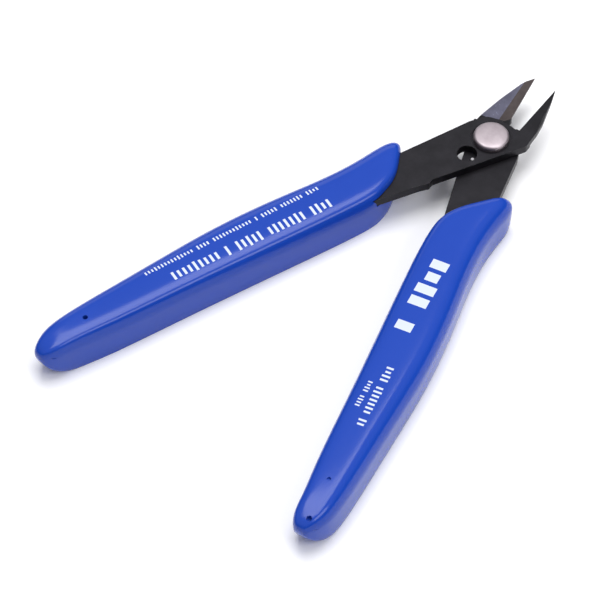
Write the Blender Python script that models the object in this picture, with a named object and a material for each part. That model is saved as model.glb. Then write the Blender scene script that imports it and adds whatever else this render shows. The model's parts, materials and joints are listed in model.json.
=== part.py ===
"""Flush cut pliers: two lapped blade plates on one rivet, a return spring between them and a grip on each."""

import math

import bmesh
import bpy
from mathutils import Matrix, Vector

# All sizes below are millimetres. Outlines are in plan: the rivet's axis is at (0, 0), the tips towards +Y.
MM = 0.001

HANDLE_REACH = 104.9  # from the rivet back to the longer grip's end
TIP_REACH = 21.0  # from the rivet forward to the jaw tips
LAP_HEIGHT = 6.5  # of the plane where the two plates meet, above the flat undersides of the grips
PIVOT_OFFSET = 0.75  # of the rivet from the middle of the tool's width, towards +X
PIVOT = Vector((PIVOT_OFFSET, (HANDLE_REACH - TIP_REACH) / 2, LAP_HEIGHT))

PLATE_THICKNESS = 2.0
LAP_GAP = 0.03  # on each side of the lap plane
BORE_RADIUS = 2.05
SPOT_FACE_RADIUS = 4.4
SPOT_FACE_DEPTH = 0.2

RIVET_RADIUS = 2.0
HEAD_RADIUS = 3.85
HEAD_HEIGHT = 1.5
PEENED_RADIUS = 3.5
PEENED_HEIGHT = 0.9
HEAD_GAP = 0.06

WIRE_RADIUS = 0.35
COIL_RADIUS = 2.75
COIL_LIFT = 0.5  # of each spring leg above or below the lap plane
BEND_RADIUS = 0.6
HOOK_HEIGHT = 1.3  # of the bent ends, which stand in the plates' round holes
POCKET_RADIUS = 3.3
POCKET_DEPTH = 1.0

# Round holes that the spring's bent ends stand in: centre, radius and the wire's place in the hole.
FRONT_HOLE = (Vector((-1.35, -6.6)), 2.2, Vector((0.36, -6.92)))
REAR_HOLE = (Vector((1.9, -5.9)), 0.55, Vector((1.9, -5.9)))

PARTING_LIFT = 0.7  # of the grips' parting line above the lap plane
# Height of the section above and below the parting line, and its exponent, where 2 is an ellipse. The flat
# underside cuts the lower part off.
GRIP_ABOVE = (3.3, 2.4)
GRIP_BELOW = (10.5, 4.0)
GRIP_POCKET_GAP = 0.12
RIGHT_GRIP_SLIP = Vector((-0.6, 0.0))
LEFT_GRIP_SLIP = Vector((-0.9, -1.3))  # the left grip is pushed on less far than the right one
RINGS_PER_STATION = 3

EDGE_LEAN = math.radians(24.0)  # from upright, of the face behind each cutting edge
FACET_SLOPE = math.radians(13.0)  # of the ground face behind each ridge
CHAMFER_SLOPE = math.radians(62.0)
TAPER_SLOPE = math.radians(13.0)

# Handle side of a plate: up its outer edge from the buried end, for the plate whose handle lies on +X.
# A third number is a corner's radius.
TANG_OUTER = [
    (30.4, -92.8, 2.0),
    (34.8, -91.7, 2.0),
    (28.6, -65.3, 60.0),
    (22.6, -45.8, 60.0),
    (16.7, -28.7, 20.0),
    (13.4, -18.5, 20.0),
    (6.6, 0.9, 2.0),
]
# Down its inner edge to the buried end. Only the front plate has the notch.
HEEL = [(-5.1, -1.1, 1.5)]
NOTCH = [(2.5, -17.0, 0.4), (2.35, -18.3, 0.4), (3.6, -20.2, 0.6)]
TANG_INNER = [
    (9.1, -31.3, 15.0),
    (15.4, -48.1, 60.0),
    (21.7, -67.3, 60.0),
]
# Head and jaw of each plate, from the outer edge round the rivet to the jaw's heel.
FRONT_HEAD = [
    (-4.6, 4.4, 2.5),
    (-0.9, 5.7, 2.0),
    (2.7, 5.3, 0.3),
    (2.3, 6.5, 0.0),
    (1.13, 21.3, 0.08),
    (3.2, 16.8, 12.0),
    (6.2, 9.2, 14.0),
    (7.1, 3.2, 1.5),
]
REAR_HEAD = [
    (4.6, 4.4, 2.5),
    (0.2, 5.2, 1.0),
    (-2.3, 6.6, 0.4),
    (-1.2, 8.4, 0.8),
    (-4.3, 21.1, 0.08),
    (-5.6, 18.5, 5.0),
    (-6.7, 12.5, 20.0),
    (-7.4, 5.6, 6.0),
    (-7.2, 3.0, 1.5),
]
# Lines that the jaws are ground along, from the root towards the tip: the cutting edge, the ridge between the
# flat lap strip and the facet behind it, and the outer chamfer's upper edge.
FRONT_EDGE = (Vector((2.35, 5.6)), Vector((1.13, 21.3)))
FRONT_RIDGE = (Vector((4.4, 4.5)), Vector((2.4, 18.0)))
FRONT_CHAMFER = (Vector((7.3, 5.0)), Vector((2.4, 18.5)))
REAR_EDGE = (Vector((-1.15, 9.1)), Vector((-4.3, 21.1)))
REAR_RIDGE = (Vector((-2.65, 4.5)), Vector((-5.3, 18.0)))
REAR_CHAMFER = (Vector((-7.6, 5.0)), Vector((-5.8, 18.5)))
TAPER_START = 12.5  # from here on the jaws thin towards the tips

# Grip: matched points of its outer and inner side in plan and its share of the full height, front to back. The
# two fronts differ: the right one reaches further up its plate.
RIGHT_GRIP_FRONT = [
    ((12.7, -11.0), (8.8, -17.7), 0.66),
    ((14.4, -10.1), (6.9, -21.5), 0.88),
    ((15.8, -11.7), (6.2, -24.9), 1.0),
]
LEFT_GRIP_FRONT = [
    ((12.0, -13.2), (8.7, -18.5), 0.66),
    ((13.5, -12.3), (7.1, -22.2), 0.88),
    ((15.0, -13.0), (6.7, -25.3), 1.0),
]
GRIP_STATIONS = [
    ((16.2, -16.4), (6.5, -28.1), 1.0),
    ((17.0, -22.1), (7.5, -31.9), 1.0),
    ((19.4, -30.4), (9.2, -37.3), 1.0),
    ((23.1, -39.5), (11.7, -44.8), 1.0),
    ((26.7, -49.5), (14.5, -53.0), 1.0),
    ((29.5, -59.2), (17.5, -61.8), 1.0),
    ((31.6, -68.7), (20.5, -70.6), 1.0),
    ((33.8, -78.6), (23.5, -79.8), 1.0),
    ((35.9, -88.0), (26.8, -89.6), 1.0),
    ((37.3, -95.4), (29.6, -96.8), 0.97),
    ((37.2, -99.4), (30.7, -100.7), 0.86),
    ((36.0, -102.1), (32.3, -102.7), 0.66),
    ((34.9, -103.3), (34.0, -103.6), 0.34),
]


def clear_scene():
    for obj in list(bpy.data.objects):
        bpy.data.objects.remove(obj, do_unlink=True)


def material(name, colour, roughness, metallic):
    made = bpy.data.materials.new(name)
    made.use_nodes = True
    shader = made.node_tree.nodes["Principled BSDF"]
    shader.inputs["Base Color"].default_value = (*colour, 1.0)
    shader.inputs["Roughness"].default_value = roughness
    shader.inputs["Metallic"].default_value = metallic
    made.diffuse_color = (*colour, 1.0)
    return made


def add_object(name, mesh_data, parent, finish=None):
    obj = bpy.data.objects.new(name, mesh_data)
    obj.parent = parent
    bpy.context.scene.collection.objects.link(obj)
    if finish:
        mesh_data.materials.append(finish)
    return obj


def finish_mesh(name, bm):
    """Scales a bmesh in millimetres to metres, turns its faces out and stores it."""
    bmesh.ops.recalc_face_normals(bm, faces=bm.faces)
    bmesh.ops.scale(bm, vec=Vector((MM, MM, MM)), verts=bm.verts)
    stored = bpy.data.meshes.new(name)
    bm.to_mesh(stored)
    bm.free()
    return stored


def smooth(mesh_data, sharp_angle=35.0):
    mesh_data.shade_smooth()
    mesh_data.set_sharp_from_angle(angle=math.radians(sharp_angle))


def add_pivot(name):
    """An empty on the rivet's axis in the lap plane, which one half of the tool hangs from."""
    empty = bpy.data.objects.new(name, None)
    empty.location = PIVOT * MM
    empty.empty_display_size = 0.01
    bpy.context.scene.collection.objects.link(empty)
    return empty


def rounded(corners):
    """An outline through corners (x, y, radius), rounded by arcs with a point about every 12 degrees."""
    points = []
    count = len(corners)
    for index, (x, y, radius) in enumerate(corners):
        corner = Vector((x, y))
        before = (Vector(corners[index - 1][:2]) - corner).normalized()
        after = (Vector(corners[(index + 1) % count][:2]) - corner).normalized()
        if radius == 0.0:
            points.append(corner)
            continue
        half_angle = before.angle(after) / 2
        setback = radius / math.tan(half_angle)
        centre = corner + (before + after).normalized() * radius / math.sin(half_angle)
        start = corner + before * setback - centre
        turn = start.angle_signed(corner + after * setback - centre)
        steps = max(1, round(abs(math.degrees(turn)) / 12))
        for step in range(steps + 1):
            points.append(centre + Matrix.Rotation(-turn * step / steps, 2) @ start)
    return points


def prism(name, points, low, high):
    bm = bmesh.new()
    floor = bm.faces.new([bm.verts.new((x, y, low)) for x, y in points])
    raised = bmesh.ops.extrude_face_region(bm, geom=[floor])
    top = [item for item in raised["geom"] if isinstance(item, bmesh.types.BMVert)]
    bmesh.ops.translate(bm, vec=Vector((0, 0, high - low)), verts=top)
    return finish_mesh(name, bm)


def cylinder(name, centre, radius, low, high, sides=48):
    bm = bmesh.new()
    place = Matrix.Translation((centre[0], centre[1], (low + high) / 2))
    bmesh.ops.create_cone(
        bm,
        cap_ends=True,
        segments=sides,
        radius1=radius,
        radius2=radius,
        depth=high - low,
        matrix=place,
    )
    return finish_mesh(name, bm)


def cut(target, mesh_data, parent):
    """Takes a cutter's volume away from the target. The cutter stays as a hidden wire object."""
    cutter = add_object(mesh_data.name, mesh_data, parent)
    cutter.hide_render = True
    cutter.display_type = "WIRE"
    modifier = target.modifiers.new(mesh_data.name, "BOOLEAN")
    modifier.operation = "DIFFERENCE"
    modifier.solver = "EXACT"
    modifier.object = cutter


def ground_away(name, start, end, height, normal, run=0.0, depth=8.0, reach=9.0):
    """A block on the upper side of the plane through the line from start to end, which normal stands on.

    The block runs from start to end and this run further, and reaches equally far to both sides of the line.
    """
    along = (end - start).normalized().to_3d()
    upward = (normal - along * normal.dot(along)).normalized()
    sideways = along.cross(upward)
    first = Vector((*start, height))
    last = Vector((*end, height)) + along * run
    bm = bmesh.new()
    corners = []
    for origin in (first, last):
        for across, lift in ((-reach, 0), (reach, 0), (reach, depth), (-reach, depth)):
            corners.append(bm.verts.new(origin + sideways * across + upward * lift))
    bm.faces.new(corners[:4])
    bm.faces.new(corners[4:])
    for index in range(4):
        after = (index + 1) % 4
        bm.faces.new((corners[index], corners[after], corners[after + 4], corners[index + 4]))
    return finish_mesh(name, bm)


def slot(name, start, end, half_width, low, high):
    """A straight groove's volume, with square ends half a width beyond start and end."""
    along = (end - start).normalized()
    across = Vector((-along.y, along.x)) * half_width
    first = start - along * half_width
    last = end + along * half_width
    return prism(name, [first - across, last - across, last + across, first + across], low, high)


def hole_of(side):
    """Centre and radius of a plate's round hole, and the place of the spring's bent end in it."""
    return REAR_HOLE if side == 1 else FRONT_HOLE


def spring_tangent(side):
    """Angle round the rivet where a leg leaves the coil, and the point itself."""
    anchor = hole_of(side)[2]
    angle = math.atan2(anchor.y, anchor.x) - side * math.acos(COIL_RADIUS / anchor.length)
    return angle, Vector((math.cos(angle), math.sin(angle))) * COIL_RADIUS


def cut_joint(blade, side, parent):
    """Bore, spot-face, spring pocket, spring groove and round hole. The front plate (side -1) lies on top."""
    up = -side
    low, high = sorted((0.0, up * PLATE_THICKNESS))
    name = blade.name
    cut(blade, cylinder(f"{name}_bore_cut", (0, 0), BORE_RADIUS, low - 1, high + 1), parent)
    face = up * PLATE_THICKNESS
    low, high = sorted((face - up * SPOT_FACE_DEPTH, face + up))
    cut(blade, cylinder(f"{name}_spot_face_cut", (0, 0), SPOT_FACE_RADIUS, low, high), parent)
    low, high = sorted((-up, up * POCKET_DEPTH))
    cut(blade, cylinder(f"{name}_pocket_cut", (0, 0), POCKET_RADIUS, low, high), parent)
    centre, radius, anchor = hole_of(side)
    groove = slot(f"{name}_groove_cut", spring_tangent(side)[1], anchor, WIRE_RADIUS + 0.15, low, high)
    cut(blade, groove, parent)
    low, high = sorted((-up, up * (PLATE_THICKNESS + 1)))
    cut(blade, cylinder(f"{name}_hole_cut", centre, radius, low, high), parent)


def cut_jaw(blade, side, parent, edge, ridge, chamfer):
    """Grinds the jaw: its leaning inner face, its lap-side facet, its outer chamfer and its thin tip."""
    up = -side
    name = blade.name
    lap = up * LAP_GAP
    face = up * PLATE_THICKNESS
    shift = Vector((up * 0.02, 0.0))
    lean = Vector((-up * math.cos(EDGE_LEAN), 0, up * math.sin(EDGE_LEAN)))
    cut(blade, ground_away(f"{name}_edge_cut", edge[0] + shift, edge[1] + shift, lap, lean, 3.0, 4.0), parent)
    facet = Vector((up * math.sin(FACET_SLOPE), 0, -up * math.cos(FACET_SLOPE)))
    cut(blade, ground_away(f"{name}_facet_cut", *ridge, lap, facet, 6.0), parent)
    outer = Vector((up * math.sin(CHAMFER_SLOPE), 0, up * math.cos(CHAMFER_SLOPE)))
    cut(blade, ground_away(f"{name}_chamfer_cut", *chamfer, face, outer, 6.0, 6.0, 5.0), parent)
    taper = Vector((0, math.sin(TAPER_SLOPE), up * math.cos(TAPER_SLOPE)))
    across = (Vector((-9.0, TAPER_START)), Vector((9.0, TAPER_START)))
    cut(blade, ground_away(f"{name}_taper_cut", *across, face, taper, 0.0, 6.0, 14.0), parent)


def tang_outline(side, head, notch):
    corners = TANG_OUTER + [(x * side, y, radius) for x, y, radius in head] + HEEL + notch + TANG_INNER
    return rounded([(x * side, y, radius) for x, y, radius in corners])


def widened(points, distance):
    """The outline moved out by this distance. Its points run clockwise or anticlockwise."""
    area = sum(a.x * b.y - b.x * a.y for a, b in zip(points, points[1:] + points[:1]))
    outward = math.copysign(distance, area)
    moved = []
    for index, point in enumerate(points):
        before = (point - points[index - 1]).normalized()
        after = (points[(index + 1) % len(points)] - point).normalized()
        along = (before + after).normalized()
        moved.append(point + Vector((along.y, -along.x)) * outward / max(along.dot(after), 0.5))
    return moved


def add_blade(name, side, outline, parent, finish):
    """One plate: side 1 has its handle on +X and lies below the lap plane, side -1 is its opposite."""
    low, high = sorted((-side * LAP_GAP, -side * PLATE_THICKNESS))
    blade = add_object(name, prism(name, outline, low, high), parent, finish)
    cut_joint(blade, side, parent)
    return blade


def add_rivet(parent, finish):
    seat = PLATE_THICKNESS - SPOT_FACE_DEPTH + HEAD_GAP
    top = seat + HEAD_HEIGHT
    bottom = -seat - PEENED_HEIGHT
    profile = [
        (0.0, top),
        (HEAD_RADIUS - 0.9, top),
        (HEAD_RADIUS - 0.35, top - 0.15),
        (HEAD_RADIUS, top - 0.55),
        (HEAD_RADIUS, seat),
        (RIVET_RADIUS, seat),
        (RIVET_RADIUS, -seat),
        (PEENED_RADIUS, -seat),
        (PEENED_RADIUS, bottom + 0.45),
        (PEENED_RADIUS - 0.7, bottom),
        (0.0, bottom),
    ]
    bm = bmesh.new()
    verts = [bm.verts.new((radius, 0.0, z)) for radius, z in profile]
    edges = [bm.edges.new(pair) for pair in zip(verts, verts[1:])]
    bmesh.ops.spin(bm, geom=verts + edges, axis=(0, 0, 1), cent=(0, 0, 0), steps=48, angle=math.tau)
    bmesh.ops.remove_doubles(bm, verts=bm.verts, dist=0.001)
    turned = finish_mesh("pivot_rivet", bm)
    smooth(turned)
    return add_object("pivot_rivet", turned, parent, finish)


def spring_leg(side):
    """From the end that stands in the plate's round hole, round its bend and along the groove to the coil."""
    up = -side
    anchor = hole_of(side)[2]
    toward = (spring_tangent(side)[1] - anchor).normalized() * BEND_RADIUS
    leg = [(*anchor, up * (COIL_LIFT + HOOK_HEIGHT))]
    for step in range(5):
        angle = math.pi / 2 * step / 4
        place = anchor + toward * (1 - math.cos(angle))
        leg.append((*place, up * (COIL_LIFT + BEND_RADIUS * (1 - math.sin(angle)))))
    return leg


def spring_route():
    """Centre line of the wire, from the front plate's hole round the coil to the rear plate's."""
    front_angle = spring_tangent(-1)[0]
    turn = (spring_tangent(1)[0] - front_angle) % math.tau
    steps = 24
    coil = []
    for step in range(steps + 1):
        angle = front_angle + turn * step / steps
        lift = COIL_LIFT * math.cos(math.pi * step / steps)
        coil.append((COIL_RADIUS * math.cos(angle), COIL_RADIUS * math.sin(angle), lift))
    return spring_leg(-1) + coil + spring_leg(1)[::-1]


def add_spring(parent, finish):
    wire = bpy.data.curves.new("return_spring", "CURVE")
    wire.dimensions = "3D"
    wire.bevel_depth = WIRE_RADIUS * MM
    wire.bevel_resolution = 2
    wire.use_fill_caps = True
    route = spring_route()
    spline = wire.splines.new("POLY")
    spline.points.add(len(route) - 1)
    for point, place in zip(spline.points, route):
        point.co = (*(Vector(place) * MM), 1.0)
    return add_object("return_spring", wire, parent, finish)


def smooth_between(values, position):
    """Catmull-Rom value at a fractional position along a list of vectors."""
    index = min(int(position), len(values) - 2)
    share = position - index
    before = values[max(index - 1, 0)]
    start, end = values[index], values[index + 1]
    after = values[min(index + 2, len(values) - 1)]
    bend = (2 * before - 5 * start + 4 * end - after) * share**2
    twist = (3 * start - before - 3 * end + after) * share**3
    return start + ((end - before) * share + bend + twist) / 2


def grip_section(stations, position, sides=28):
    """One ring of the grip: a squared oval between its outer and inner side, flat on the underside."""
    left = smooth_between([Vector(station[1]) for station in stations], position)
    right = smooth_between([Vector(station[0]) for station in stations], position)
    share = smooth_between([Vector((station[2], 0)) for station in stations], position).x
    above, above_exponent = GRIP_ABOVE
    below, below_exponent = GRIP_BELOW
    ring = []
    for index in range(sides):
        angle = math.tau * index / sides
        upper = index <= sides // 2
        power = 2 / (above_exponent if upper else below_exponent)
        height = above * share if upper else below * share**2
        across = math.copysign(abs(math.cos(angle)) ** power, math.cos(angle))
        rise = math.copysign(abs(math.sin(angle)) ** power, math.sin(angle))
        place = left.lerp(right, (1 + across) / 2)
        ring.append((place.x, place.y, max(PARTING_LIFT + rise * height, -LAP_HEIGHT)))
    return ring


def add_grip(name, side, front, notch, slip, parent, finish):
    bm = bmesh.new()
    stations = front + GRIP_STATIONS
    rings = []
    for index in range((len(stations) - 1) * RINGS_PER_STATION + 1):
        ring = grip_section(stations, index / RINGS_PER_STATION)
        rings.append([bm.verts.new((x * side + slip.x, y + slip.y, z)) for x, y, z in ring])
    for ring, following in zip(rings, rings[1:]):
        for index in range(len(ring)):
            after = (index + 1) % len(ring)
            bm.faces.new((ring[index], ring[after], following[after], following[index]))
    bm.faces.new(rings[0])
    bm.faces.new(rings[-1])
    grip = add_object(name, finish_mesh(name, bm), parent, finish)
    smooth(grip.data, 50.0)
    low, high = sorted((-side * (LAP_GAP - GRIP_POCKET_GAP), -side * (PLATE_THICKNESS + GRIP_POCKET_GAP)))
    outline = widened(tang_outline(side, [], notch), GRIP_POCKET_GAP)
    cut(grip, prism(f"{name}_pocket_cut", outline, low, high), parent)
    return grip


def main():
    clear_scene()
    steel = material("black_oxide_steel", (0.035, 0.033, 0.038), 0.42, 0.9)
    nickel = material("nickel_rivet", (0.52, 0.47, 0.48), 0.35, 1.0)
    wire = material("spring_wire", (0.40, 0.40, 0.42), 0.3, 1.0)
    blue = material("blue_grip", (0.02, 0.09, 0.48), 0.25, 0.0)
    rear_half = add_pivot("rear_half")
    front_half = add_pivot("front_half")
    rear = add_blade("rear_blade", 1, tang_outline(1, REAR_HEAD, []), rear_half, steel)
    cut_jaw(rear, 1, rear_half, REAR_EDGE, REAR_RIDGE, REAR_CHAMFER)
    front = add_blade("front_blade", -1, tang_outline(-1, FRONT_HEAD, NOTCH), front_half, steel)
    cut_jaw(front, -1, front_half, FRONT_EDGE, FRONT_RIDGE, FRONT_CHAMFER)
    add_rivet(rear_half, nickel)
    add_spring(rear_half, wire)
    add_grip("right_grip", 1, RIGHT_GRIP_FRONT, [], RIGHT_GRIP_SLIP, rear_half, blue)
    add_grip("left_grip", -1, LEFT_GRIP_FRONT, NOTCH, LEFT_GRIP_SLIP, front_half, blue)


main()
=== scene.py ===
import json
import math

import bpy
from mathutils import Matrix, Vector


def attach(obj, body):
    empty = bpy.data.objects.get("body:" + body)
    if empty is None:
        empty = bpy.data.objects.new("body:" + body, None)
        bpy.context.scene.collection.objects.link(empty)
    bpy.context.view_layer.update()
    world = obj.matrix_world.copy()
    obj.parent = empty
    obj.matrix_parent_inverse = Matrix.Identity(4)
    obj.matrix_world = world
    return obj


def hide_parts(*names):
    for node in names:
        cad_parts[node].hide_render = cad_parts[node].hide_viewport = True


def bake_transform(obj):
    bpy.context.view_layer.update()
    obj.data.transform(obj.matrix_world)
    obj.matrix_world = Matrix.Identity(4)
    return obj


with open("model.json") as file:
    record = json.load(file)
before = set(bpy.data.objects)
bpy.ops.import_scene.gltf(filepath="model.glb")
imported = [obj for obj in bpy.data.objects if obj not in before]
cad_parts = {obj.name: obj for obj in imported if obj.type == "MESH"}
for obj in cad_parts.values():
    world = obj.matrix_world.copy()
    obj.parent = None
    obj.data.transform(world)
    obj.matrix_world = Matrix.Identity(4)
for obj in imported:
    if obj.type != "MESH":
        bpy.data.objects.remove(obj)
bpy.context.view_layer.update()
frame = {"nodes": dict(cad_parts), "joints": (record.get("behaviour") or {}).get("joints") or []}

# The studio: the tool lies on bare white paper. A wide soft box hangs over it, a second one stands to the
# right of it and a third behind it, and the camera looks down on it from the grips' side.
MM = 0.001
rivet_axis = Vector(frame["joints"][0]["pos_m"])
bpy.context.scene.view_settings.view_transform = "Standard"
bpy.ops.object.select_all(action="DESELECT")

bpy.ops.mesh.primitive_circle_add(vertices=128, radius=0.7, fill_type="NGON", location=(0, 0, -0.00003))
paper = bpy.context.object
paper.name = "paper"
paper_white = bpy.data.materials.new("paper_white")
paper_white.use_nodes = True
paper_shader = paper_white.node_tree.nodes["Principled BSDF"]
paper_shader.inputs["Base Color"].default_value = (0.97, 0.97, 0.972, 1)
paper_shader.inputs["Roughness"].default_value = 0.95
paper_shader.inputs["Specular IOR Level"].default_value = 0.1
paper.data.materials.append(paper_white)


def add_softbox(name, direction, distance, width, height, watts):
    """A soft box this far from the tool's middle, facing it."""
    toward = Vector(direction).normalized()
    light = bpy.data.lights.new(name, "AREA")
    light.shape = "RECTANGLE"
    light.size = width
    light.size_y = height
    light.energy = watts
    box = bpy.data.objects.new(name, light)
    box.location = toward * distance
    box.rotation_euler = toward.to_track_quat("Z", "Y").to_euler()
    bpy.context.scene.collection.objects.link(box)


add_softbox("overhead_softbox", (-0.1, 0.15, 1.0), 0.9, 0.6, 0.6, 5.8)
add_softbox("right_softbox", (0.72, 0.08, 0.72), 0.9, 0.5, 0.36, 2.6)
add_softbox("back_softbox", (-0.75, 0.8, 0.45), 1.0, 0.8, 0.35, 1.0)

studio = bpy.data.worlds.new("studio")
studio.use_nodes = True
walls = studio.node_tree.nodes["Background"]
walls.inputs["Strength"].default_value = 1.0
seen = studio.node_tree.nodes.new("ShaderNodeLightPath")
wall_colour = studio.node_tree.nodes.new("ShaderNodeMix")
wall_colour.data_type = "RGBA"
wall_colour.inputs["B"].default_value = (0.93, 0.93, 0.94, 1)
studio.node_tree.links.new(seen.outputs["Is Camera Ray"], wall_colour.inputs["Factor"])
# The room is dark along the horizon and pale overhead.
direction = studio.node_tree.nodes.new("ShaderNodeTexCoord")
direction_parts = studio.node_tree.nodes.new("ShaderNodeSeparateXYZ")
room_height = studio.node_tree.nodes.new("ShaderNodeValToRGB")
room_height.color_ramp.elements[0].position = 0.28
room_height.color_ramp.elements[0].color = (0.05, 0.05, 0.06, 1)
room_height.color_ramp.elements[1].position = 0.72
room_height.color_ramp.elements[1].color = (0.66, 0.66, 0.69, 1)
studio.node_tree.links.new(direction.outputs["Generated"], direction_parts.inputs["Vector"])
studio.node_tree.links.new(direction_parts.outputs["Z"], room_height.inputs["Fac"])
studio.node_tree.links.new(room_height.outputs["Color"], wall_colour.inputs["A"])
studio.node_tree.links.new(wall_colour.outputs["Result"], walls.inputs["Color"])
bpy.context.scene.world = studio

AZIMUTH = math.radians(39.95)
ELEVATION = math.radians(52.0)
look_back = Vector(
    (
        math.sin(AZIMUTH) * math.cos(ELEVATION),
        -math.cos(AZIMUTH) * math.cos(ELEVATION),
        math.sin(ELEVATION),
    )
)
lens = bpy.data.cameras.new("camera")
lens.sensor_width = 36.0
lens.lens = 236.84
camera = bpy.data.objects.new("camera", lens)
camera.location = rivet_axis + Vector((-2.87, -59.01, 0.0)) * MM + look_back * 0.8314
camera.rotation_euler = look_back.to_track_quat("Z", "Y").to_euler()
bpy.context.scene.collection.objects.link(camera)
bpy.context.scene.camera = camera


# The two blade plates: 2 mm tool steel, stamped to outline, blackened, then ground bare at the jaws. They lie
# one on the other at the rivet. Handling has worn the black off their sharp edges.
def add_node(tree, kind, **values):
    """A node of this kind with its plain input values set by name."""
    node = tree.nodes.new(kind)
    for name, value in values.items():
        node.inputs[name.replace("_", " ")].default_value = value
    return node


def add_group(name, inputs, outputs):
    """An empty shader node group, with its input and output nodes."""
    group = bpy.data.node_groups.new(name, "ShaderNodeTree")
    for label, kind, value in inputs:
        socket = group.interface.new_socket(label, in_out="INPUT", socket_type=kind)
        socket.default_value = value
    for label, kind in outputs:
        group.interface.new_socket(label, in_out="OUTPUT", socket_type=kind)
    return group, group.nodes.new("NodeGroupInput"), group.nodes.new("NodeGroupOutput")


# Patches: soft, irregular blotches, as skin oil and uneven blackening leave. 0 to 1 over the surface.
patches, patch_in, patch_out = add_group(
    "patches",
    [("Size", "NodeSocketFloat", 300.0), ("Contrast", "NodeSocketFloat", 1.0)],
    [("Mask", "NodeSocketFloat")],
)
patch_place = patches.nodes.new("ShaderNodeTexCoord")
patch_noise = add_node(patches, "ShaderNodeTexNoise", Detail=4.0, Roughness=0.6)
patch_spread = patches.nodes.new("ShaderNodeMath")
patch_spread.operation = "MULTIPLY_ADD"
patch_spread.use_clamp = True
patch_centre = patches.nodes.new("ShaderNodeMath")
patch_centre.operation = "SUBTRACT"
patch_centre.inputs[1].default_value = 0.5
patch_spread.inputs[2].default_value = 0.5
patches.links.new(patch_place.outputs["Object"], patch_noise.inputs["Vector"])
patches.links.new(patch_in.outputs["Size"], patch_noise.inputs["Scale"])
patches.links.new(patch_noise.outputs["Fac"], patch_centre.inputs[0])
patches.links.new(patch_centre.outputs[0], patch_spread.inputs[0])
patches.links.new(patch_in.outputs["Contrast"], patch_spread.inputs[1])
patches.links.new(patch_spread.outputs[0], patch_out.inputs["Mask"])

# Scratches: fine lines that run one way, at a turn about the upright axis. 1 on a scratch, 0 between them.
scratches, scratch_in, scratch_out = add_group(
    "scratches",
    [
        ("Turn", "NodeSocketVector", (0.0, 0.0, 0.0)),
        ("Size", "NodeSocketFloat", 900.0),
        ("Share", "NodeSocketFloat", 0.1),
    ],
    [("Mask", "NodeSocketFloat")],
)
scratch_place = scratches.nodes.new("ShaderNodeTexCoord")
scratch_turn = scratches.nodes.new("ShaderNodeMapping")
scratch_stretch = scratches.nodes.new("ShaderNodeMapping")
scratch_stretch.inputs["Scale"].default_value = (1.0, 0.03, 1.0)
scratch_noise = add_node(scratches, "ShaderNodeTexNoise", Detail=3.0, Roughness=0.7)
scratch_limit = scratches.nodes.new("ShaderNodeMath")
scratch_limit.operation = "SUBTRACT"
scratch_limit.inputs[0].default_value = 0.78
scratch_edge = scratches.nodes.new("ShaderNodeMapRange")
scratch_edge.inputs["From Max"].default_value = 0.8
scratches.links.new(scratch_place.outputs["Object"], scratch_turn.inputs["Vector"])
scratches.links.new(scratch_in.outputs["Turn"], scratch_turn.inputs["Rotation"])
scratches.links.new(scratch_turn.outputs["Vector"], scratch_stretch.inputs["Vector"])
scratches.links.new(scratch_stretch.outputs["Vector"], scratch_noise.inputs["Vector"])
scratches.links.new(scratch_in.outputs["Size"], scratch_noise.inputs["Scale"])
scratches.links.new(scratch_in.outputs["Share"], scratch_limit.inputs[1])
scratches.links.new(scratch_noise.outputs["Fac"], scratch_edge.inputs["Value"])
scratches.links.new(scratch_limit.outputs[0], scratch_edge.inputs["From Min"])
scratches.links.new(scratch_edge.outputs["Result"], scratch_out.inputs["Mask"])


def place_group(tree, group, **values):
    """A node of this group, with its plain input values set by name."""
    node = tree.nodes.new("ShaderNodeGroup")
    node.node_tree = group
    for name, value in values.items():
        node.inputs[name].default_value = value
    return node


def mix_colours(tree, mask, first, second):
    """A colour mix by a mask. Each colour is a value or a socket."""
    mix = tree.nodes.new("ShaderNodeMix")
    mix.data_type = "RGBA"
    tree.links.new(mask, mix.inputs["Factor"])
    for name, colour in (("A", first), ("B", second)):
        if isinstance(colour, tuple):
            mix.inputs[name].default_value = (*colour, 1)
        else:
            tree.links.new(colour, mix.inputs[name])
    return mix.outputs["Result"]


def mix_values(tree, mask, low, high):
    """A number that goes from low to high with a mask."""
    node = tree.nodes.new("ShaderNodeMapRange")
    node.inputs["To Min"].default_value = low
    node.inputs["To Max"].default_value = high
    tree.links.new(mask, node.inputs["Value"])
    return node.outputs["Result"]


def steel(name, dark, light, roughness, metallic, grain_turn, grain_depth, bare_share):
    """Tool steel: blotches between two tones, and ground lines with bare metal in the deepest of them."""
    made = bpy.data.materials.new(name)
    made.use_nodes = True
    tree = made.node_tree
    shader = tree.nodes["Principled BSDF"]
    shader.inputs["Metallic"].default_value = metallic
    blotches = place_group(tree, patches, Size=260.0, Contrast=2.2)
    speckle = place_group(tree, patches, Size=2600.0, Contrast=1.6)
    lines = place_group(tree, scratches, Turn=(0, 0, grain_turn), Size=3200.0, Share=bare_share)
    tone = mix_colours(tree, blotches.outputs["Mask"], dark, light)
    bright = tuple(min(1.0, value * 2.4 + 0.02) for value in light)
    bare = mix_colours(tree, lines.outputs["Mask"], tone, bright)
    tree.links.new(bare, shader.inputs["Base Color"])
    tree.links.new(
        mix_values(tree, speckle.outputs["Mask"], roughness - 0.07, roughness + 0.08),
        shader.inputs["Roughness"],
    )
    grain = tree.nodes.new("ShaderNodeMath")
    grain.operation = "SUBTRACT"
    tree.links.new(speckle.outputs["Mask"], grain.inputs[0])
    tree.links.new(lines.outputs["Mask"], grain.inputs[1])
    bump = add_node(tree, "ShaderNodeBump", Strength=grain_depth, Distance=0.00003)
    tree.links.new(grain.outputs[0], bump.inputs["Height"])
    tree.links.new(bump.outputs["Normal"], shader.inputs["Normal"])
    return made


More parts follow.
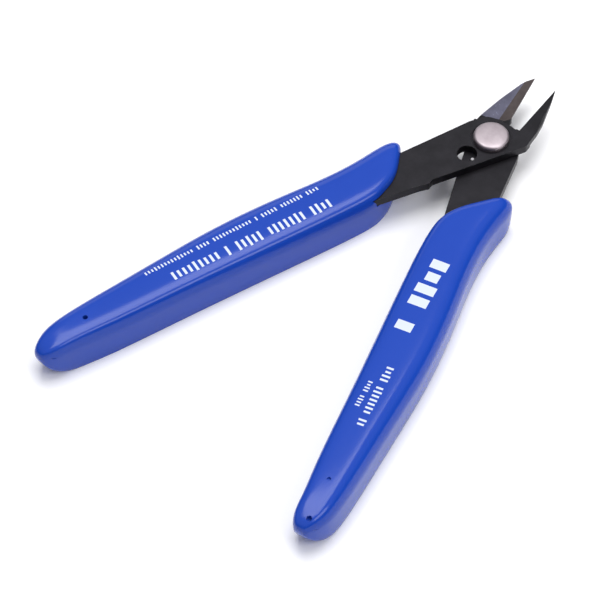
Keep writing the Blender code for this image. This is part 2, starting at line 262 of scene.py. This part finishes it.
black_steel = steel("black_steel", (0.010, 0.0095, 0.012), (0.019, 0.018, 0.022), 0.42, 0.75, 0.5, 0.5, 0.02)
worn_edge = steel("worn_edge", (0.12, 0.11, 0.12), (0.34, 0.32, 0.33), 0.36, 0.9, 0.5, 0.4, 0.2)
# Bare ground steel of the jaws in two tones of one finish: the sloped facets paler and bluer as a painted
# reflection of the pale room, the flat lap strip brown-grey as the steel shows but darker as painted shade.
ground_facet_painted_sheen = steel("ground_facet_painted_sheen", (0.11, 0.11, 0.155), (0.19, 0.19, 0.26), 0.34, 1.0, 1.9, 0.5, 0.16)
ground_strip_painted_shade = steel("ground_strip_painted_shade", (0.055, 0.045, 0.044), (0.09, 0.075, 0.073), 0.42, 0.9, 1.3, 0.5, 0.1)


def copy_of(node, name):
    """A new piece with this CAD node's shape, its triangles merged into whole faces again."""
    bpy.ops.object.select_all(action="DESELECT")
    piece = bpy.data.objects.new(name, frame["nodes"][node].data.copy())
    bpy.context.scene.collection.objects.link(piece)
    piece.select_set(True)
    bpy.context.view_layer.objects.active = piece
    bpy.ops.mesh.customdata_custom_splitnormals_clear()
    piece.data.materials.clear()
    bpy.ops.object.mode_set(mode="EDIT")
    bpy.ops.mesh.select_all(action="SELECT")
    bpy.ops.mesh.remove_doubles(threshold=0.000001)
    bpy.ops.mesh.dissolve_limited(angle_limit=math.radians(0.4))
    bpy.ops.object.mode_set(mode="OBJECT")
    return piece


def apply_all(piece):
    """Applies the piece's modifiers in their order."""
    bpy.context.view_layer.objects.active = piece
    for modifier in list(piece.modifiers):
        bpy.ops.object.modifier_apply(modifier=modifier.name)


def make_plate(node, name, up):
    """One plate. Its ground faces lean away from the lap side and get two tones of one bare steel, a painted
    sheen on the sloped facets and painted shade on the flat strip, and its edges get a worn round.
    """
    plate = copy_of(node, name)
    for finish in (black_steel, worn_edge, ground_facet_painted_sheen, ground_strip_painted_shade):
        plate.data.materials.append(finish)
    jaw_start = rivet_axis.y + 6.0 * MM
    bpy.ops.object.mode_set(mode="EDIT")
    bpy.ops.mesh.select_all(action="SELECT")
    bpy.ops.mesh.bisect(plane_co=(0, jaw_start, 0), plane_no=(0, 1, 0))
    bpy.ops.object.mode_set(mode="OBJECT")
    # Faces on the lap side past the jaw start: sloped ones get the painted-sheen steel, flat ones the
    # painted-shade steel.
    for face in plate.data.polygons:
        lap_side = face.normal.z * up < -0.9
        if face.center.y < jaw_start:
            continue
        if lap_side and abs(face.normal.z) < 0.99:
            face.material_index = 2
        elif lap_side:
            face.material_index = 3
    edges = plate.modifiers.new("worn_edges", "BEVEL")
    edges.width = 0.14 * MM
    edges.segments = 2
    edges.limit_method = "ANGLE"
    edges.angle_limit = math.radians(25)
    edges.material = 1
    apply_all(plate)
    bpy.ops.object.shade_smooth_by_angle(angle=math.radians(30))
    flats = plate.modifiers.new("flat_faces", "WEIGHTED_NORMAL")
    flats.keep_sharp = True
    apply_all(plate)
    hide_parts(node)
    return plate


rear_plate = make_plate("rear_blade", "rear_plate", -1)
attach(rear_plate, "rear_half")
front_plate = make_plate("front_blade", "front_plate", 1)
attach(front_plate, "front_half")


# The return spring: most of a turn of 0.7 mm bright wire round the rivet, in a pocket between the plates. Its
# ends are bent into the plates' round holes; in the real tool the wire twists as the handles close, but this
# copy is baked in place.
spring_wire = steel("spring_wire_bright", (0.42, 0.42, 0.44), (0.55, 0.54, 0.55), 0.3, 1.0, 0.0, 0.2, 0.05)
wire = copy_of("return_spring", "spring_wire")
wire.data.materials.append(spring_wire)
bpy.ops.object.shade_smooth_by_angle(angle=math.radians(50))
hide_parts("return_spring")
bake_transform(wire)


# The rivet: soft steel, nickel plated, with a low domed head in the front plate's spot-face. Its tail goes
# down through both plates and is peened over underneath.
HEAD_RADIUS = 3.85 * MM
SHANK_RADIUS = 2.0 * MM
head_seat = rivet_axis.z + 1.86 * MM
head_top = rivet_axis.z + 3.3 * MM
tail_seat = rivet_axis.z - 1.86 * MM
tail_end = rivet_axis.z - 2.76 * MM


def select_faces(piece, wanted):
    """Selects the faces that the test picks, and nothing else. Ends in edit mode."""
    bpy.ops.object.mode_set(mode="EDIT")
    bpy.ops.mesh.select_mode(type="FACE")
    bpy.ops.mesh.select_all(action="DESELECT")
    bpy.ops.object.mode_set(mode="OBJECT")
    for face in piece.data.polygons:
        face.select = wanted(face)
    bpy.ops.object.mode_set(mode="EDIT")


bpy.ops.object.select_all(action="DESELECT")
bpy.ops.mesh.primitive_cylinder_add(
    vertices=64,
    radius=HEAD_RADIUS,
    depth=head_top - head_seat,
    location=(rivet_axis.x, rivet_axis.y, (head_top + head_seat) / 2),
)
rivet = bpy.context.object
rivet.name = "rivet"
bpy.ops.object.transform_apply(location=True, rotation=True, scale=True)
select_faces(rivet, lambda face: face.normal.z > 0.9)
bpy.ops.mesh.bevel(offset=0.62 * MM, segments=5, profile=0.5)
bpy.ops.mesh.select_all(action="DESELECT")
bpy.ops.object.mode_set(mode="OBJECT")
select_faces(rivet, lambda face: face.normal.z > 0.999 and len(face.vertices) > 10)
bpy.ops.mesh.inset(thickness=0.9 * MM)
bpy.ops.transform.translate(value=(0, 0, 0.07 * MM))
bpy.ops.mesh.inset(thickness=1.1 * MM)
bpy.ops.transform.translate(value=(0, 0, 0.04 * MM))
bpy.ops.mesh.inset(thickness=0.8 * MM)
select_faces(rivet, lambda face: face.normal.z < -0.9 and len(face.vertices) > 10)
bpy.ops.mesh.inset(thickness=HEAD_RADIUS - SHANK_RADIUS)
bpy.ops.mesh.extrude_region_move(TRANSFORM_OT_translate={"value": (0, 0, tail_seat - head_seat)})
bpy.ops.mesh.extrude_region_move(TRANSFORM_OT_translate={"value": (0, 0, 0)})
bpy.ops.transform.resize(value=(1.75, 1.75, 1), center_override=(rivet_axis.x, rivet_axis.y, tail_seat))
bpy.ops.mesh.extrude_region_move(TRANSFORM_OT_translate={"value": (0, 0, -0.45 * MM)})
bpy.ops.mesh.extrude_region_move(TRANSFORM_OT_translate={"value": (0, 0, tail_end - tail_seat + 0.45 * MM)})
bpy.ops.transform.resize(value=(0.8, 0.8, 1), center_override=(rivet_axis.x, rivet_axis.y, tail_end))
bpy.ops.object.mode_set(mode="OBJECT")
bpy.ops.object.shade_smooth_by_angle(angle=math.radians(50))

nickel = bpy.data.materials.new("nickel")
nickel.use_nodes = True
nickel_tree = nickel.node_tree
nickel_shader = nickel_tree.nodes["Principled BSDF"]
nickel_shader.inputs["Metallic"].default_value = 1.0
haze = place_group(nickel_tree, patches, Size=420.0, Contrast=1.8)
pitting = place_group(nickel_tree, patches, Size=3000.0, Contrast=1.2)
nickel_tree.links.new(
    mix_colours(nickel_tree, haze.outputs["Mask"], (0.34, 0.295, 0.315), (0.45, 0.395, 0.42)),
    nickel_shader.inputs["Base Color"],
)
nickel_gloss = mix_values(nickel_tree, haze.outputs["Mask"], 0.5, 0.4)
nickel_tree.links.new(nickel_gloss, nickel_shader.inputs["Roughness"])
nickel_bump = add_node(nickel_tree, "ShaderNodeBump", Strength=0.25, Distance=0.00003)
nickel_tree.links.new(pitting.outputs["Mask"], nickel_bump.inputs["Height"])
nickel_tree.links.new(nickel_bump.outputs["Normal"], nickel_shader.inputs["Normal"])
rivet.data.materials.append(nickel)
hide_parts("pivot_rivet")
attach(rivet, "rear_half")


# The grips: glossy blue plastic, moulded in two-part tools that leave a fine parting line round them. Each
# has upright walls, sloping shoulders, a flat top and a flat underside, and closes round its plate's tang.
PARTING_HEIGHT = rivet_axis.z + 0.7 * MM
# The section, from its outer side over the top to the inner side and back underneath: its place across the
# grip, where 0.5 is the outer side, and its height above the parting line in millimetres.
grip_section = [
    (0.505, 0.0),
    (0.455, 1.4),
    (0.375, 2.75),
    (0.22, 3.35),
    (0.0, 3.35),
    (-0.28, 3.35),
    (-0.43, 2.85),
    (-0.475, 1.45),
    (-0.505, 0.0),
    (-0.5, -2.0),
    (-0.49, -6.5),
    (-0.42, -9.5),
    (0.0, -10.5),
    (0.42, -9.5),
    (0.49, -6.5),
    (0.5, -2.0),
]
# Outer and inner side of a grip in plan, from the rivet, and its share of the full height, front to back. The
# two grips share their body and differ at the front.
right_front = [
    ((12.7, -11.0), (8.8, -17.7), 0.62),
    ((14.4, -10.1), (6.9, -21.5), 0.88),
    ((15.8, -11.7), (6.2, -24.9), 1.0),
]
left_front = [
    ((12.0, -13.2), (8.7, -18.5), 0.62),
    ((13.5, -12.3), (7.3, -22.0), 0.88),
    ((15.0, -13.0), (7.0, -25.1), 1.0),
]
grip_body = [
    ((16.2, -16.4), (6.7, -28.0), 1.0),
    ((17.0, -22.1), (7.7, -31.8), 1.0),
    ((19.4, -30.4), (9.4, -37.2), 1.0),
    ((23.1, -39.5), (11.9, -44.7), 1.0),
    ((26.7, -49.5), (14.7, -52.9), 1.0),
    ((29.5, -59.2), (17.7, -61.7), 1.0),
    ((31.6, -68.7), (20.7, -70.5), 1.0),
    ((33.8, -78.6), (23.7, -79.7), 1.0),
    ((35.9, -88.0), (27.0, -89.6), 1.0),
    ((37.3, -95.4), (29.9, -96.8), 0.96),
    ((37.3, -99.6), (31.0, -100.7), 0.84),
    ((36.2, -102.6), (32.4, -103.2), 0.6),
    ((35.2, -103.9), (33.9, -104.1), 0.28),
]


def model_grip(name, side, front, slip, outer_swell, inner_swell):
    """A grip's body: the section, extruded from ring to ring along the handle. Side 1 is on +X.

    The stations are moved in plan by slip and widened by the two swells, all in millimetres.
    """
    corners = len(grip_section)
    bpy.ops.object.select_all(action="DESELECT")
    bpy.ops.mesh.primitive_circle_add(
        vertices=corners,
        radius=1,
        fill_type="NGON",
        rotation=(math.pi / 2, 0, 0),
    )
    grip = bpy.context.object
    grip.name = name
    bpy.ops.object.transform_apply(location=True, rotation=True, scale=True)
    for vertex in grip.data.vertices:
        place = round(math.atan2(vertex.co.z, vertex.co.x) / math.tau * corners) % corners
        vertex.co = (grip_section[place][0], 0, grip_section[place][1] * MM)
    bpy.ops.object.mode_set(mode="EDIT")
    bpy.ops.mesh.select_all(action="SELECT")
    centre = Vector((0, 0, 0))
    turn = 0.0
    width = 1.0
    height = 1.0
    stations = front + grip_body
    for number, (outer, inner, share) in enumerate(stations):
        outer_side = Vector(((outer[0] * side + slip[0]) * MM, (outer[1] + slip[1]) * MM, 0))
        inner_side = Vector(((inner[0] * side + slip[0]) * MM, (inner[1] + slip[1]) * MM, 0))
        outward = (outer_side - inner_side).normalized() * MM
        outer_side += outward * outer_swell
        inner_side -= outward * inner_swell
        across = outer_side - inner_side
        new_centre = Vector((rivet_axis.x, rivet_axis.y, PARTING_HEIGHT)) + (outer_side + inner_side) / 2
        new_turn = math.atan2(across.y, across.x)
        if number:
            bpy.ops.mesh.extrude_region_move(TRANSFORM_OT_translate={"value": (0, 0, 0)})
        bpy.ops.transform.translate(value=new_centre - centre)
        bpy.ops.transform.rotate(value=turn, orient_axis="Z", center_override=new_centre)
        bpy.ops.transform.resize(
            value=(across.length / width, 1, share / height),
            center_override=new_centre,
        )
        bpy.ops.transform.rotate(value=-new_turn, orient_axis="Z", center_override=new_centre)
        centre, turn, width, height = new_centre, new_turn, across.length, share
    bpy.ops.mesh.select_all(action="SELECT")
    bpy.ops.mesh.normals_make_consistent(inside=False)
    bpy.ops.object.mode_set(mode="OBJECT")
    # The underside curves up to the parting line at both ends more than the top curves down.
    for vertex in grip.data.vertices:
        depth = PARTING_HEIGHT - vertex.co.z
        if depth > 0:
            vertex.co.z = PARTING_HEIGHT - depth * stations[vertex.index // corners][2]
    skin = grip.modifiers.new("moulded_skin", "SUBSURF")
    skin.levels = 3
    skin.render_levels = 3
    apply_all(grip)
    return grip


right_grip = model_grip("right_handle_grip", 1, right_front, (-0.6, 0.0), 0.0, 0.75)
left_grip = model_grip("left_handle_grip", -1, left_front, (-0.9, -1.3), 0.6, 0.0)


PARTING_GROOVE = 0.2 * MM  # half its width
TANG_CLEARANCE = 0.3 * MM
PIT_DRILL = 6.0  # length in millimetres of the drill that cuts each pit


def finish_grip(grip, blade_node, grip_node, pits):
    """The flat underside, the parting line, the room for the tang and the pits: place, radius and bottom."""
    bpy.ops.object.select_all(action="DESELECT")
    grip.select_set(True)
    bpy.context.view_layer.objects.active = grip
    bpy.ops.object.mode_set(mode="EDIT")
    bpy.ops.mesh.select_all(action="SELECT")
    bpy.ops.mesh.bisect(plane_co=(0, 0, 0), plane_no=(0, 0, 1), clear_inner=True, use_fill=True)
    for lift in (-PARTING_GROOVE, 0.0, PARTING_GROOVE):
        bpy.ops.mesh.select_all(action="SELECT")
        bpy.ops.mesh.bisect(plane_co=(0, 0, PARTING_HEIGHT + lift), plane_no=(0, 0, 1))
    bpy.ops.mesh.select_mode(type="VERT")
    bpy.ops.mesh.select_all(action="DESELECT")
    bpy.ops.object.mode_set(mode="OBJECT")
    for vertex in grip.data.vertices:
        vertex.select = abs(vertex.co.z - PARTING_HEIGHT) < 0.00001
    bpy.ops.object.mode_set(mode="EDIT")
    bpy.ops.transform.shrink_fatten(value=-0.18 * MM)
    bpy.ops.object.mode_set(mode="OBJECT")
    tang = copy_of(blade_node, "tang_room")
    spread = tang.modifiers.new("clearance", "DISPLACE")
    spread.strength = TANG_CLEARANCE
    spread.mid_level = 0.0
    apply_all(tang)
    room = grip.modifiers.new("tang_room", "BOOLEAN")
    room.operation = "DIFFERENCE"
    room.solver = "EXACT"
    room.object = tang
    apply_all(grip)
    bpy.data.objects.remove(tang)
    for place, radius, bottom in pits:
        bpy.ops.object.select_all(action="DESELECT")
        bpy.ops.mesh.primitive_cylinder_add(vertices=24, radius=radius * MM, depth=PIT_DRILL * MM)
        drill = bpy.context.object
        drill.location = rivet_axis + Vector((*place, bottom + PIT_DRILL / 2)) * MM
        bpy.ops.object.transform_apply(location=True, rotation=True, scale=True)
        pit = grip.modifiers.new("pit", "BOOLEAN")
        pit.operation = "DIFFERENCE"
        pit.solver = "EXACT"
        pit.object = drill
        apply_all(grip)
        bpy.data.objects.remove(drill)
    bpy.ops.object.select_all(action="DESELECT")
    grip.select_set(True)
    bpy.context.view_layer.objects.active = grip
    bpy.ops.object.shade_smooth_by_angle(angle=math.radians(40))
    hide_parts(grip_node)


right_pits = [((31.4, -92.2), 0.45, 3.6), ((34.1, -101.6), 0.6, 2.2)]
left_pits = [((-33.2, -93.0), 0.55, 2.4)]
finish_grip(right_grip, "rear_blade", "right_grip", right_pits)
finish_grip(left_grip, "front_blade", "left_grip", left_pits)


# Dash row: printed dashes of uneven height along a line from Place, turned by Turn, on upward faces only. The
# mask is 1 on a dash and 0 between dashes.
dashes, dash_in, dash_out = add_group(
    "dashes",
    [
        ("Place", "NodeSocketVector", (0.0, 0.0, 0.0)),
        ("Turn", "NodeSocketVector", (0.0, 0.0, 0.0)),
        ("Length", "NodeSocketFloat", 0.03),
        ("Height", "NodeSocketFloat", 0.002),
        ("Pitch", "NodeSocketFloat", 0.002),
        ("Share", "NodeSocketFloat", 0.7),
    ],
    [("Mask", "NodeSocketFloat")],
)


def dash_step(operation, *values):
    """A sum, product or test on values or sockets in the dash group."""
    node = dashes.nodes.new("ShaderNodeMath")
    node.operation = operation
    for socket, value in zip(node.inputs, values):
        if isinstance(value, (int, float)):
            socket.default_value = value
        else:
            dashes.links.new(value, socket)
    return node.outputs[0]


dash_place = dashes.nodes.new("ShaderNodeTexCoord")
dash_frame = dashes.nodes.new("ShaderNodeMapping")
dash_frame.vector_type = "TEXTURE"
dash_parts = dashes.nodes.new("ShaderNodeSeparateXYZ")
dash_facing = dashes.nodes.new("ShaderNodeSeparateXYZ")
dashes.links.new(dash_place.outputs["Object"], dash_frame.inputs["Vector"])
dashes.links.new(dash_in.outputs["Place"], dash_frame.inputs["Location"])
dashes.links.new(dash_in.outputs["Turn"], dash_frame.inputs["Rotation"])
dashes.links.new(dash_frame.outputs["Vector"], dash_parts.inputs["Vector"])
dashes.links.new(dash_place.outputs["Normal"], dash_facing.inputs["Vector"])
dash_cell = dash_step("DIVIDE", dash_parts.outputs["X"], dash_in.outputs["Pitch"])
dash_ink = dash_step("LESS_THAN", dash_step("FRACT", dash_cell), dash_in.outputs["Share"])
dash_seed = dashes.nodes.new("ShaderNodeTexWhiteNoise")
dash_seed.noise_dimensions = "1D"
dashes.links.new(dash_step("FLOOR", dash_cell), dash_seed.inputs["W"])
dash_kept = dash_step("GREATER_THAN", dash_seed.outputs["Value"], 0.14)
dash_half = dash_step(
    "MULTIPLY",
    dash_step("MULTIPLY_ADD", dash_seed.outputs["Value"], 0.22, 0.28),
    dash_in.outputs["Height"],
)
dash_tall = dash_step("LESS_THAN", dash_step("ABSOLUTE", dash_parts.outputs["Y"]), dash_half)
dash_after = dash_step("GREATER_THAN", dash_parts.outputs["X"], 0.0)
dash_before = dash_step("LESS_THAN", dash_parts.outputs["X"], dash_in.outputs["Length"])
dash_up = dash_step("GREATER_THAN", dash_facing.outputs["Z"], 0.4)
dash_mask = dash_ink
for test in (dash_kept, dash_tall, dash_after, dash_before, dash_up):
    dash_mask = dash_step("MULTIPLY", dash_mask, test)
dashes.links.new(dash_mask, dash_out.inputs["Mask"])


def blue_plastic(name, rows):
    """Glossy blue plastic with the faint unevenness and the few scuffs of a moulded grip, and printed dashes.

    Each row of dashes runs from one point to another in plan from the rivet, with a height, pitch and share.
    """
    made = bpy.data.materials.new(name)
    made.use_nodes = True
    tree = made.node_tree
    shader = tree.nodes["Principled BSDF"]
    shader.inputs["Specular IOR Level"].default_value = 0.3
    clouds = place_group(tree, patches, Size=60.0, Contrast=1.2)
    scuffs = place_group(tree, scratches, Turn=(0.2, 0.1, 0.35), Size=700.0, Share=0.02)
    ripple = place_group(tree, patches, Size=500.0, Contrast=1.0)
    tone = mix_colours(tree, clouds.outputs["Mask"], (0.007, 0.048, 0.37), (0.010, 0.057, 0.41))
    gloss = mix_values(tree, scuffs.outputs["Mask"], 0.16, 0.36)
    for start, end, height, pitch, share in rows:
        along = Vector(end) - Vector(start)
        row = place_group(
            tree,
            dashes,
            Place=rivet_axis + Vector((*start, 0)) * MM,
            Turn=(0, 0, math.atan2(along.y, along.x)),
            Length=math.floor(along.length / pitch) * pitch * MM,
            Height=height * MM,
            Pitch=pitch * MM,
            Share=share,
        )
        tone = mix_colours(tree, row.outputs["Mask"], tone, (0.62, 0.68, 0.78))
    tree.links.new(tone, shader.inputs["Base Color"])
    tree.links.new(gloss, shader.inputs["Roughness"])
    bump = add_node(tree, "ShaderNodeBump", Strength=0.08, Distance=0.00005)
    tree.links.new(ripple.outputs["Mask"], bump.inputs["Height"])
    tree.links.new(bump.outputs["Normal"], shader.inputs["Normal"])
    return made


right_rows = [
    ((14.0, -34.4), (19.4, -55.6), 4.6, 3.5, 0.68),
    ((23.3, -62.7), (28.1, -79.2), 1.9, 1.1, 0.45),
    ((22.4, -68.0), (24.3, -75.4), 1.2, 0.8, 0.45),
]
left_rows = [
    ((-14.1, -37.1), (-26.8, -74.5), 2.7, 1.3, 0.45),
    ((-18.7, -35.7), (-31.6, -77.7), 1.2, 0.8, 0.45),
]
right_grip.data.materials.append(blue_plastic("blue_plastic_right", right_rows))
left_grip.data.materials.append(blue_plastic("blue_plastic_left", left_rows))
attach(right_grip, "rear_half")
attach(left_grip, "front_half")
